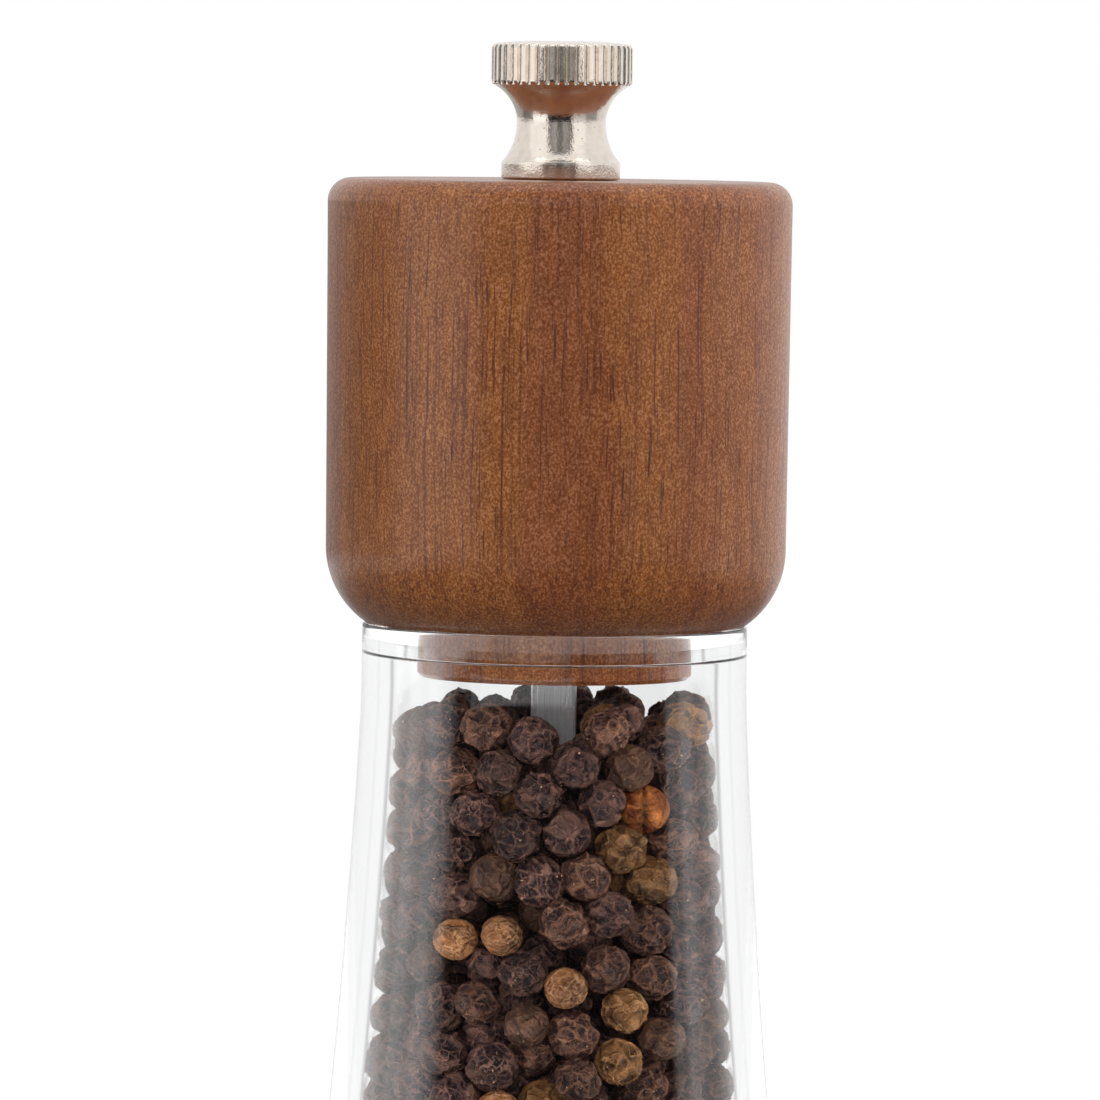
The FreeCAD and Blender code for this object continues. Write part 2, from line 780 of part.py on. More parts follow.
fill_sheet()
NODES = [
    make_clear_body(),
    make_wooden_head(),
    make_adjusting_nut(),
    make_drive_plate(),
    make_plate_screws(),
    make_drive_shaft(),
    make_grinder_housing(),
    make_stator_ring(),
    make_rotor_burr(),
    make_rotor_spring(),
    make_spring_seat(),
    make_shaft_clip(),
    make_retaining_bar(),
    make_bar_screws(),
]
doc.recompute()
check_document(NODES)
write_nodes(NODES)
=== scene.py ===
import math

import bmesh
import bpy
import numpy as np
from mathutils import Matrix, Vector


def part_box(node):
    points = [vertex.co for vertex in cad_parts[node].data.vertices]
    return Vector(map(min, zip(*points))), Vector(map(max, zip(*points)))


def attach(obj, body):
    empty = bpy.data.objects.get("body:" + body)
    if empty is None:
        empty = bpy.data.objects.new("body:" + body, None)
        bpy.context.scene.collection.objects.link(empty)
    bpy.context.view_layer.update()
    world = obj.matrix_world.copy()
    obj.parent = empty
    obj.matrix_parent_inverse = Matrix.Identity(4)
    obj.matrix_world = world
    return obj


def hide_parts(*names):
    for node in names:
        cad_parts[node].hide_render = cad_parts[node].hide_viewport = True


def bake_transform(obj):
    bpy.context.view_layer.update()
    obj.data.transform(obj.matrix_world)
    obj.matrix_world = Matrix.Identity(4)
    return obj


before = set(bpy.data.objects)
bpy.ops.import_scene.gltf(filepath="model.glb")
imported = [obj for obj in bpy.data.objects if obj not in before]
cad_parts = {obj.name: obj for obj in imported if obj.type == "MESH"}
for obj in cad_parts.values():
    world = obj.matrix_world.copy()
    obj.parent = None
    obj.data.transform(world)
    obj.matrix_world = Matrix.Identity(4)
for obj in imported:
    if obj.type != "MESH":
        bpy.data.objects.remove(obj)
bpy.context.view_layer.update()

MM = 0.001
SEED = 57

# Sizes of the frame, in millimetres, as the CAD has them.
body_low, body_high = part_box("clear_body")
head_low, head_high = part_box("wooden_head")
nut_low, nut_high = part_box("adjusting_nut")
shaft_low, shaft_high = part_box("drive_shaft")
housing_low, housing_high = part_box("grinder_housing")

FOOT_R = body_high.x / MM
RIM_Z = body_high.z / MM
HEAD_R = head_high.x / MM
HEAD_TOP = head_high.z / MM
PLUG_FOOT = head_low.z / MM
NUT_FOOT = nut_low.z / MM
NUT_TOP = nut_high.z / MM
SHAFT_FOOT = shaft_low.z / MM
SHAFT_TOP = shaft_high.z / MM
SHAFT_HALF = 2.38
HOUSING_TOP = housing_high.z / MM

# Clear body
COLLAR_R = 20.1
WALL = 3.35
BLEND_TOP = 98.7
FLARE_TOP = 94.1
FLARE_TOP_R = 20.21
FLARE_ARC = 940.0
BLEND_ARC = 100.0
FOOT_BAND = 2.6
SOCKET_R = 23.0
SHOULDER_Z = 28.0
CHAMBER_FOOT_R = 22.4
MOUTH_R = 14.5
MOUTH_DEPTH = 3.1
LIP_ROUND = 0.35


# ------------------------------------------------------------------ node helpers


def add_node(tree, kind, *, out=0, **settings):
    """A node of that kind. A setting named i_NAME or i_0 goes to an input, the others to the node itself."""
    made = tree.nodes.new(kind)
    for key, value in settings.items():
        if not key.startswith("i_"):
            setattr(made, key, value)
            continue
        name = key[2:]
        socket = made.inputs[int(name)] if name.isdigit() else made.inputs[name.replace("_", " ")]
        if isinstance(value, bpy.types.NodeSocket):
            tree.links.new(value, socket)
        else:
            socket.default_value = value
    return made.outputs[out]


def calc(tree, operation, first, second=0.0, clamp=False):
    return add_node(tree, "ShaderNodeMath", operation=operation, use_clamp=clamp, i_0=first, i_1=second)


def remap(tree, value, low, high, to_low=0.0, to_high=1.0):
    return add_node(tree, "ShaderNodeMapRange", interpolation_type="SMOOTHSTEP", i_Value=value,
                    i_From_Min=low, i_From_Max=high, i_To_Min=to_low, i_To_Max=to_high)


def blend_colour(tree, factor, first, second, mode="MIX"):
    made = tree.nodes.new("ShaderNodeMix")
    made.data_type = "RGBA"
    made.blend_type = mode
    for index, value in ((0, factor), (6, first), (7, second)):
        if isinstance(value, bpy.types.NodeSocket):
            tree.links.new(value, made.inputs[index])
        elif index == 0:
            made.inputs[index].default_value = value
        else:
            made.inputs[index].default_value = (*value, 1.0)
    return made.outputs[2]


def place(tree, scale, turn=(0.0, 0.0, 0.0)):
    """Object coordinates in millimetres, then scaled."""
    spot = add_node(tree, "ShaderNodeTexCoord", out=3)
    factors = tuple(s / MM for s in scale)
    return add_node(tree, "ShaderNodeMapping", i_Vector=spot, i_Scale=factors, i_Rotation=turn)


def noise(tree, vector, detail=2.0, rough=0.5, size=1.0):
    return add_node(tree, "ShaderNodeTexNoise", i_Vector=vector, i_Scale=size, i_Detail=detail, i_Roughness=rough)


def cells(tree, vector, feature="F1", out=0, size=1.0, jitter=1.0):
    return add_node(tree, "ShaderNodeTexVoronoi", out=out, feature=feature, i_Vector=vector, i_Scale=size,
                    i_Randomness=jitter)


def bump(tree, height, strength, distance_mm, under=None):
    extra = {"i_Normal": under} if under is not None else {}
    return add_node(tree, "ShaderNodeBump", i_Height=height, i_Strength=strength, i_Distance=distance_mm * MM,
                    **extra)


def material(name):
    made = bpy.data.materials.new(name)
    made.use_nodes = True
    return made, made.node_tree, made.node_tree.nodes["Principled BSDF"]


def feed(tree, shader, **values):
    """Sets or links inputs of a shader."""
    for key, value in values.items():
        socket = shader.inputs[key.replace("_", " ")]
        if isinstance(value, bpy.types.NodeSocket):
            tree.links.new(value, socket)
        elif isinstance(value, tuple) and len(value) == 3:
            socket.default_value = (*value, 1.0)
        else:
            socket.default_value = value


# ------------------------------------------------------------------ materials


def stained_wood():
    """Brown stained hardwood, grain along Z, with pores, darker streaks and a satin lacquer."""
    made, tree, shader = material("stained_wood")
    drift = add_node(tree, "ShaderNodeTexNoise", out=1, i_Vector=place(tree, (0.05, 0.05, 0.03)), i_Scale=1.0,
                     i_Detail=2.0)
    base = place(tree, (1.0, 1.0, 1.0))
    bent = add_node(tree, "ShaderNodeVectorMath", operation="MULTIPLY_ADD", i_0=drift, i_1=(3.0, 3.0, 0.0),
                    i_2=base)

    def grain(across, along):
        return add_node(tree, "ShaderNodeMapping", i_Vector=bent, i_Scale=(across, across, along))

    mottle = noise(tree, grain(4.4, 3.5), detail=3.0, rough=0.6)
    clouds = noise(tree, grain(0.55, 0.22), detail=2.0)
    streaks = noise(tree, grain(1.5, 0.014), detail=3.0, rough=0.6)
    hairs = noise(tree, grain(4.2, 0.035), detail=2.0, rough=0.6)
    bands = noise(tree, grain(0.15, 0.006), detail=2.0, rough=0.5)
    fibres = noise(tree, grain(5.0, 0.16), detail=2.0, rough=0.6)

    tone = add_node(tree, "ShaderNodeValToRGB", i_Fac=remap(tree, mottle, 0.28, 0.72))
    ramp = tone.node.color_ramp
    ramp.elements[0].color = (0.165, 0.038, 0.0035, 1.0)
    ramp.elements[1].color = (0.450, 0.195, 0.0780, 1.0)
    middle = ramp.elements.new(0.5)
    middle.color = (0.268, 0.084, 0.0150, 1.0)
    colour = blend_colour(tree, remap(tree, clouds, 0.38, 0.68), tone, (0.84, 0.80, 0.78), mode="MULTIPLY")
    colour = blend_colour(tree, remap(tree, bands, 0.44, 0.62), colour, (0.86, 0.78, 0.92), mode="MULTIPLY")
    dark_streak = remap(tree, streaks, 0.55, 0.68, 0.0, 0.80)
    colour = blend_colour(tree, dark_streak, colour, (0.52, 0.42, 0.58), mode="MULTIPLY")
    colour = blend_colour(tree, remap(tree, hairs, 0.59, 0.67, 0.0, 0.80), colour, (0.075, 0.016, 0.010))
    colour = blend_colour(tree, remap(tree, fibres, 0.50, 0.72, 0.0, 0.16), colour, (0.08, 0.024, 0.009))

    pore_space = grain(1.55, 0.085)
    pore_distance = cells(tree, pore_space)
    pore_pick = add_node(tree, "ShaderNodeSeparateColor", i_Color=cells(tree, pore_space, out=1))
    pore = calc(tree, "MULTIPLY", remap(tree, pore_distance, 0.20, 0.10), remap(tree, pore_pick, 0.50, 0.95))
    fine_space = grain(3.1, 0.2)
    fine_pick = add_node(tree, "ShaderNodeSeparateColor", i_Color=cells(tree, fine_space, out=1))
    fine = calc(tree, "MULTIPLY", remap(tree, cells(tree, fine_space), 0.24, 0.12),
                remap(tree, fine_pick, 0.50, 1.0, 0.0, 0.55))
    pores = calc(tree, "MAXIMUM", pore, fine)
    colour = blend_colour(tree, calc(tree, "MULTIPLY", pores, 0.78), colour, (0.022, 0.0075, 0.006))

    ripple = bump(tree, clouds, 0.16, 0.25)
    grainy = bump(tree, mottle, 0.22, 0.05, ripple)
    open_pores = bump(tree, calc(tree, "SUBTRACT", 1.0, pores), 0.55, 0.09, grainy)
    feed(tree, shader, Base_Color=colour, Roughness=remap(tree, mottle, 0.3, 0.7, 0.48, 0.38),
         Normal=open_pores, Coat_Weight=0.50, Coat_Roughness=0.24, Coat_IOR=1.48, Specular_IOR_Level=0.26)
    return made


def nickel_plate():
    """Warm nickel plating over a slightly uneven casting, with small pits."""
    made, tree, shader = material("nickel_plate")
    waves = noise(tree, place(tree, (0.9, 0.9, 0.9)), detail=2.0)
    orange_peel = noise(tree, place(tree, (4.6, 4.6, 4.6)), detail=2.0, rough=0.6)
    pit_space = place(tree, (2.3, 2.3, 2.3))
    pick = add_node(tree, "ShaderNodeSeparateColor", i_Color=cells(tree, pit_space, out=1))
    pits = calc(tree, "MULTIPLY", remap(tree, cells(tree, pit_space), 0.17, 0.07), remap(tree, pick, 0.74, 0.9))
    colour = blend_colour(tree, remap(tree, waves, 0.35, 0.7), (0.86, 0.775, 0.69), (0.785, 0.705, 0.62))
    colour = blend_colour(tree, calc(tree, "MULTIPLY", pits, 0.8), colour, (0.16, 0.125, 0.10))
    soft = bump(tree, waves, 0.24, 0.16)
    fine = bump(tree, orange_peel, 0.5, 0.036, soft)
    holes = bump(tree, calc(tree, "SUBTRACT", 1.0, pits), 0.6, 0.08, fine)
    feed(tree, shader, Base_Color=colour, Metallic=1.0, Normal=holes,
         Roughness=remap(tree, orange_peel, 0.3, 0.7, 0.09, 0.15))
    return made


def brushed_metal(name, light, dark, across, along, rough_low, rough_high, depth=0.3, height=0.03, metallic=1.0):
    """Metal with fine drawn lines. across and along are lines per millimetre in X and Y, and in Z."""
    made, tree, shader = material(name)
    lines = noise(tree, place(tree, (across, across, along)), detail=3.0, rough=0.65)
    stains = noise(tree, place(tree, (0.35, 0.35, 0.3)), detail=3.0)
    colour = blend_colour(tree, remap(tree, lines, 0.3, 0.7), dark, light)
    colour = blend_colour(tree, remap(tree, stains, 0.45, 0.75, 0.0, 0.25), colour, dark)
    feed(tree, shader, Base_Color=colour, Metallic=metallic, Normal=bump(tree, lines, depth, height),
         Roughness=remap(tree, stains, 0.3, 0.7, rough_low, rough_high))
    return made


def moulded_plastic(name, light, dark, rough):
    """Moulded plastic with a fine spark-eroded grain and faint scuffs."""
    made, tree, shader = material(name)
    grain = noise(tree, place(tree, (4.5, 4.5, 4.5)), detail=2.0, rough=0.6)
    clouds = noise(tree, place(tree, (0.25, 0.25, 0.25)), detail=3.0)
    scuffs = noise(tree, place(tree, (0.9, 0.9, 6.0)), detail=3.0, rough=0.7)
    colour = blend_colour(tree, remap(tree, clouds, 0.35, 0.65), dark, light)
    colour = blend_colour(tree, remap(tree, scuffs, 0.60, 0.78, 0.0, 0.35), colour, tuple(c * 1.6 for c in light))
    feed(tree, shader, Base_Color=colour, Normal=bump(tree, grain, 0.25, 0.04),
         Roughness=remap(tree, scuffs, 0.35, 0.75, rough, rough + 0.14))
    return made


def clear_acrylic():
    """Clear acrylic that lets lamps through, so that what is inside it is lit."""
    made, tree, shader = material("clear_acrylic")
    feed(tree, shader, Base_Color=(0.985, 0.99, 0.99), Roughness=0.0, IOR=1.49, Transmission_Weight=1.0)
    output = tree.nodes["Material Output"]
    shadow_ray = add_node(tree, "ShaderNodeLightPath", out=1)
    through = add_node(tree, "ShaderNodeBsdfTransparent", i_Color=(0.97, 0.975, 0.975, 1.0))
    mixed = add_node(tree, "ShaderNodeMixShader", i_0=shadow_ray, i_1=shader.outputs[0], i_2=through)
    tree.links.new(mixed, output.inputs["Surface"])
    return made


def peppercorn():
    """Dried pepper skin. The mesh gives each corn's skin colour, with painted shade in its dents, its crest colour,
    how wrinkled it is, and its own space.
    """
    made, tree, shader = material("peppercorn")
    skin = add_node(tree, "ShaderNodeAttribute", attribute_name="skin")
    wrinkled_part = add_node(tree, "ShaderNodeAttribute", out=3, attribute_name="skin")
    crest = add_node(tree, "ShaderNodeAttribute", attribute_name="crest")
    space = add_node(tree, "ShaderNodeAttribute", out=1, attribute_name="grain")
    bend = add_node(tree, "ShaderNodeTexNoise", out=1, i_Vector=space, i_Scale=0.95, i_Detail=4.0)
    warped = add_node(tree, "ShaderNodeVectorMath", operation="MULTIPLY_ADD", i_0=bend, i_1=(1.25, 1.25, 1.25),
                      i_2=space)
    broad = cells(tree, warped, feature="DISTANCE_TO_EDGE", size=0.60)
    narrow = cells(tree, warped, feature="DISTANCE_TO_EDGE", size=1.50)
    fine = noise(tree, space, detail=3.0, rough=0.7, size=6.5)
    patches = noise(tree, space, detail=3.0, rough=0.6, size=0.9)
    ridge = calc(tree, "MAXIMUM", remap(tree, broad, 0.074, 0.014), remap(tree, narrow, 0.090, 0.030, 0.0, 0.50))
    ridge = calc(tree, "MULTIPLY", ridge, wrinkled_part)
    faded = calc(tree, "MULTIPLY", ridge, remap(tree, patches, 0.36, 0.58, 0.2, 1.0))
    # Painted shade: the skin darkens by up to a third towards the middle of each cell, where the relief sinks between
    # the ridges.
    hollow = remap(tree, broad, 0.04, 0.30, 1.0, 0.66)
    shade = blend_colour(tree, wrinkled_part, skin, blend_colour(tree, 1.0, skin, hollow, mode="MULTIPLY"))
    shade = blend_colour(tree, 1.0, shade, blend_colour(
        tree, remap(tree, fine, 0.28, 0.72), (0.58, 0.58, 0.60), (1.50, 1.42, 1.36)), mode="MULTIPLY")
    colour = blend_colour(tree, calc(tree, "MULTIPLY", faded, 0.9), shade, crest)
    colour = blend_colour(tree, remap(tree, patches, 0.60, 0.78, 0.0, 0.35), colour, crest)
    rough = calc(tree, "ADD", remap(tree, ridge, 0.0, 1.0, 0.44, 0.70), remap(tree, fine, 0.3, 0.7, -0.06, 0.1))
    relief = bump(tree, remap(tree, broad, 0.22, 0.0), 1.0, 0.34, bump(tree, ridge, 0.7, 0.14))
    feed(tree, shader, Base_Color=colour, Roughness=rough, Normal=bump(tree, fine, 0.6, 0.10, relief),
         Specular_IOR_Level=0.40)
    return made


MATERIALS = {
    "clear_acrylic": clear_acrylic(),
    "stained_wood": stained_wood(),
    "nickel_plate": nickel_plate(),
    "shaft_aluminium": brushed_metal("shaft_aluminium", (0.95, 0.95, 0.96), (0.76, 0.76, 0.78), 5.0, 0.05,
                                     0.26, 0.36, 1.0, 0.30, 0.6),
    "burr_steel": brushed_metal("burr_steel", (0.46, 0.45, 0.44), (0.27, 0.265, 0.26), 2.5, 5.0, 0.32, 0.46),
    "zinc_steel": brushed_metal("zinc_steel", (0.68, 0.70, 0.72), (0.50, 0.505, 0.50), 2.2, 2.2, 0.24, 0.38, 0.2),
    "spring_wire": brushed_metal("spring_wire", (0.62, 0.61, 0.60), (0.42, 0.41, 0.40), 3.0, 3.0, 0.20, 0.32, 0.2),
    "black_plastic": moulded_plastic("black_plastic", (0.020, 0.020, 0.021), (0.011, 0.011, 0.012), 0.36),
    "natural_nylon": moulded_plastic("natural_nylon", (0.72, 0.69, 0.60), (0.62, 0.585, 0.49), 0.40),
    "peppercorn": peppercorn(),
}


def dress_frame():
    """Every CAD node gets the detailed material of its own slot."""
    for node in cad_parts.values():
        for index, slot in enumerate(node.data.materials):
            node.data.materials[index] = MATERIALS[slot.name.split(".")[0]]


# ------------------------------------------------------------------ mesh helpers


def arc(start, end, radius, side, steps):
    """Points from start to end on a circle. side 1 bends left of the way from start to end, -1 right."""
    chord = math.dist(start, end)
    middle = ((start[0] + end[0]) / 2, (start[1] + end[1]) / 2)
    along = ((end[0] - start[0]) / chord, (end[1] - start[1]) / chord)
    depth = math.sqrt(max(radius * radius - chord * chord / 4, 0.0))
    centre = (middle[0] + side * along[1] * depth, middle[1] - side * along[0] * depth)
    first = math.atan2(start[1] - centre[1], start[0] - centre[0])
    turn = -side * 2 * math.asin(min(chord / (2 * radius), 1.0))
    return [(centre[0] + radius * math.cos(first + turn * i / steps),
             centre[1] + radius * math.sin(first + turn * i / steps)) for i in range(1, steps)]


def outline(corners, step=2.5, closed=True):
    """Corners (radius, height) in millimetres, with (radius, height, arc radius, side) where an arc leaves one."""
    points = []
    for index, corner in enumerate(corners):
        following = corners[(index + 1) % len(corners)]
        points.append(corner[:2])
        if index == len(corners) - 1 and not closed:
            break
        if len(corner) > 2:
            length = math.dist(corner[:2], following[:2])
            steps = max(int(length / step), 8)
            points += arc(corner[:2], following[:2], corner[2], corner[3], steps)
    return points


def finish_mesh(name, vertices, faces, slot, body, sharp=30.0):
    mesh = bpy.data.meshes.new(name)
    mesh.from_pydata(vertices, [], faces)
    shape = bmesh.new()
    shape.from_mesh(mesh)
    bmesh.ops.remove_doubles(shape, verts=shape.verts, dist=1e-7)
    bmesh.ops.recalc_face_normals(shape, faces=shape.faces)
    shape.to_mesh(mesh)
    shape.free()
    for face in mesh.polygons:
        face.use_smooth = True
    mesh.set_sharp_from_angle(angle=math.radians(sharp))
    mesh.materials.append(MATERIALS[slot])
    made = bpy.data.objects.new(name, mesh)
    bpy.context.scene.collection.objects.link(made)
    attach(made, body)
    return made


def lathe(name, points, slot, body, segments=256, shape=None, closed=True, sharp=30.0):
    """Turns points (radius, height) in millimetres about Z. shape(angle, radius, height) may change a radius."""
    vertices = []
    for index in range(segments):
        angle = 2 * math.pi * index / segments
        for radius, height in points:
            here = shape(angle, radius, height) if shape else radius
            vertices.append((here * math.cos(angle) * MM, here * math.sin(angle) * MM, height * MM))
    rows = len(points)
    last = rows if closed else rows - 1
    faces = []
    for index in range(segments):
        right = (index + 1) % segments
        for row in range(last):
            above = (row + 1) % rows
            faces.append((index * rows + row, right * rows + row, right * rows + above, index * rows + above))
    return finish_mesh(name, vertices, faces, slot, body, sharp)


# ------------------------------------------------------------------ clear body


def build_clear_body():
    lip = RIM_Z - MOUTH_DEPTH
    corners = [
        (SOCKET_R + 0.6, 0.0),
        (FOOT_R - 0.6, 0.0),
        (FOOT_R, 0.6),
        (FOOT_R, FOOT_BAND, FLARE_ARC, 1),
        (FLARE_TOP_R, FLARE_TOP, BLEND_ARC, 1),
        (COLLAR_R, BLEND_TOP),
        (COLLAR_R, RIM_Z - 0.4, 0.4, -1),
        (COLLAR_R - 0.4, RIM_Z),
        (MOUTH_R + 0.4, RIM_Z, 0.4, -1),
        (MOUTH_R, RIM_Z - 0.4),
        (MOUTH_R, lip),
        (COLLAR_R - WALL - LIP_ROUND, lip, LIP_ROUND, 1),
        (COLLAR_R - WALL, lip - LIP_ROUND),
        (COLLAR_R - WALL, BLEND_TOP, BLEND_ARC + WALL, -1),
        (FLARE_TOP_R - WALL, FLARE_TOP, FLARE_ARC + WALL, -1),
        (CHAMBER_FOOT_R, SHOULDER_Z),
        (SOCKET_R, SHOULDER_Z),
        (SOCKET_R, 0.6),
    ]
    made = lathe("clear_body_moulding", outline(corners), "clear_acrylic", "stand")
    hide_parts("clear_body")


# ------------------------------------------------------------------ adjusting nut

NUT_RIM_R = 7.36
RIM_FOOT = 160.95
RIM_TOP = 164.2
KNURLS = 44
GROOVE_DEPTH = 0.40


def knurled(angle, radius, height):
    """Straight grooves with round bottoms between rounded lands, which run out at both edges of the rim."""
    pitch = 2 * math.pi / KNURLS
    across = abs((angle / pitch) % 1.0 - 0.5) * 2
    groove = max(0.0, 1.0 - (across / 0.56) ** 2) ** 0.75
    low = min(max((height - 160.45) / 0.75, 0.0), 1.0)
    high = min(max((164.72 - height) / 0.65, 0.0), 1.0)
    fade = math.sqrt(1 - (1 - low) ** 2) * math.sqrt(1 - (1 - high) ** 2)
    return radius - GROOVE_DEPTH * groove * fade


def build_nut():
    corners = [
        (2.42, NUT_FOOT),
        (5.95, NUT_FOOT, 0.24, -1),
        (6.19, NUT_FOOT + 0.24),
        (6.19, 152.15, 0.5, -1),
        (6.0, 152.6, 6.24, 1),
        (4.63, 156.5, 4.32, 1),
        (6.7, 160.2),
        (6.98, 160.4, 0.55, -1),
        (NUT_RIM_R, RIM_FOOT),
        (NUT_RIM_R, RIM_TOP, 0.62, -1),
        (6.85, 164.70, 22.0, -1),
        (3.4, NUT_TOP),
        (0.0, NUT_TOP),
        (0.0, 162.4),
        (2.42, 162.4),
    ]
    points = []
    rough = outline(corners, step=0.25)
    for index, point in enumerate(rough):
        following = rough[(index + 1) % len(rough)]
        points.append(point)
        gap = math.dist(point, following)
        if point[1] > 160.0 and gap > 0.3 and point[0] > 5.0:
            parts = int(gap / 0.2)
            points += [tuple(a + (b - a) * i / parts for a, b in zip(point, following)) for i in range(1, parts)]
    made = lathe("adjusting_nut_plated", points, "nickel_plate", "nut", segments=KNURLS * 14, shape=knurled,
                 sharp=50.0)
    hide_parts("adjusting_nut")


# ------------------------------------------------------------------ drive shaft

SHAFT_ROUND = 0.45
SHAFT_CROWN = 0.10
SQUARE_FOOT = 7.9
SQUARE_TOP = 146.0
CLIP_GROOVE = (7.3, 1.55)
JOURNAL_R = 2.3
THREAD_R = 2.35
THREAD_DEPTH = 0.45
THREAD_PITCH = 0.8


def square_radius(angle):
    """Distance from the axis to the outline of a square rod with rounded corners and slightly crowned faces."""
    folded = (angle + math.pi / 4) % (math.pi / 2) - math.pi / 4
    inner = SHAFT_HALF - SHAFT_ROUND
    flat = (SHAFT_HALF - SHAFT_CROWN * math.tan(abs(folded)) ** 2) / math.cos(folded)
    corner = math.hypot(inner, inner)
    off = math.pi / 4 - abs(folded)
    side = corner * math.sin(off)
    if side > SHAFT_ROUND:
        return flat
    return min(flat, corner * math.cos(off) + math.sqrt(SHAFT_ROUND ** 2 - side ** 2))


def shaft_radius(angle, radius, height):
    """The section at a height: journal, square rod, then the thread, whose turns climb with the angle."""
    if SQUARE_FOOT <= height <= SQUARE_TOP:
        return square_radius(angle)
    if height < SQUARE_TOP:
        return radius
    climb = (height / THREAD_PITCH - angle / (2 * math.pi)) % 1.0
    return radius - THREAD_DEPTH * abs(climb * 2 - 1)


def build_shaft():
    groove_foot, groove_r = CLIP_GROOVE
    corners = [(0.0, SHAFT_FOOT), (JOURNAL_R - 0.4, SHAFT_FOOT), (JOURNAL_R, SHAFT_FOOT + 0.4),
               (JOURNAL_R, groove_foot), (groove_r, groove_foot), (groove_r, SQUARE_FOOT - 0.01),
               (1.0, SQUARE_FOOT), (1.0, SQUARE_TOP), (THREAD_R, SQUARE_TOP + 0.01)]
    steps = int((SHAFT_TOP - 0.2 - SQUARE_TOP) / 0.1)
    corners += [(THREAD_R, SQUARE_TOP + 0.1 * step) for step in range(1, steps)]
    corners += [(THREAD_R - 0.3, SHAFT_TOP), (0.0, SHAFT_TOP)]
    made = lathe("drive_shaft_rod", corners, "shaft_aluminium", "shaft", segments=96, shape=shaft_radius,
                 closed=False, sharp=40.0)
    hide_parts("drive_shaft")


def build_spring():
    """The spring's coils again, as a piece of its own between the turning bush and the rotor."""
    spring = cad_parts["rotor_spring"]
    coil = bpy.data.objects.new("rotor_spring_coil", spring.data.copy())
    bpy.context.scene.collection.objects.link(coil)
    coil.matrix_world = spring.matrix_world.copy()
    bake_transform(coil)
    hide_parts("rotor_spring")


# ------------------------------------------------------------------ peppercorns

CORN_FLOOR = HOUSING_TOP - 0.3
CORN_LID = 97.2
CORN_RANGE = (2.12, 2.72)
SHAFT_CLEARANCE = 3.62
WALL_GAP = 0.03


# Lighter corns that show in front: across and height in millimetres, and kind.
NOTED = (
    (8.9, 86.1, "husk"), (9.6, 78.7, "olive"), (6.8, 82.2, "olive"), (-4.8, 73.2, "tan"), (-9.3, 72.6, "tan"),
    (1.5, 68.0, "tan"), (7.3, 65.6, "olive"), (6.8, 60.3, "olive"), (-5.6, 79.1, "smooth"), (1.2, 74.5, "brown"),
    (-2.3, 64.1, "smooth"), (10.9, 62.4, "smooth"),
)


def bore_radius(height):
    """Radius of the chamber at a height, both in millimetres."""
    top_centre = arc_centre((FLARE_TOP_R - WALL, FLARE_TOP), (CHAMBER_FOOT_R, SHOULDER_Z), FLARE_ARC + WALL)
    reach = np.sqrt(np.maximum((FLARE_ARC + WALL) ** 2 - (height - top_centre[1]) ** 2, 0.0))
    flare = top_centre[0] - reach
    return np.where(height > FLARE_TOP, COLLAR_R - WALL, flare)


def arc_centre(start, end, radius):
    """Centre of the arc that bends right on its way down the bore."""
    chord = math.dist(start, end)
    along = ((end[0] - start[0]) / chord, (end[1] - start[1]) / chord)
    depth = math.sqrt(radius * radius - chord * chord / 4)
    return ((start[0] + end[0]) / 2 - along[1] * depth, (start[1] + end[1]) / 2 + along[0] * depth)


def lid_height(x, y):
    """The heap's surface: nearly level, lower at the left, with dips in front of the shaft and at the right."""
    dip = 4.6 * np.exp(-((x - 1.0) ** 2 + (y + 11.0) ** 2) / 16.0)
    gap = 2.2 * np.exp(-((x - 10.5) ** 2) / 3.0)
    edge = 1.6 * np.clip((-x - 11.0) / 3.0, 0.0, 1.0)
    return CORN_LID - dip - gap - edge - 0.4 * np.sin(x * 0.35 + 1.0) * np.cos(y * 0.3)


def keep_inside(points):
    """Ridges of a corn that would reach into the chamber's wall stop just before it."""
    reach = np.hypot(points[:, 0], points[:, 1]) + 1e-9
    limit = bore_radius(points[:, 2]) - WALL_GAP
    points[:, :2] *= np.minimum(1.0, limit / reach)[:, None]
    return points


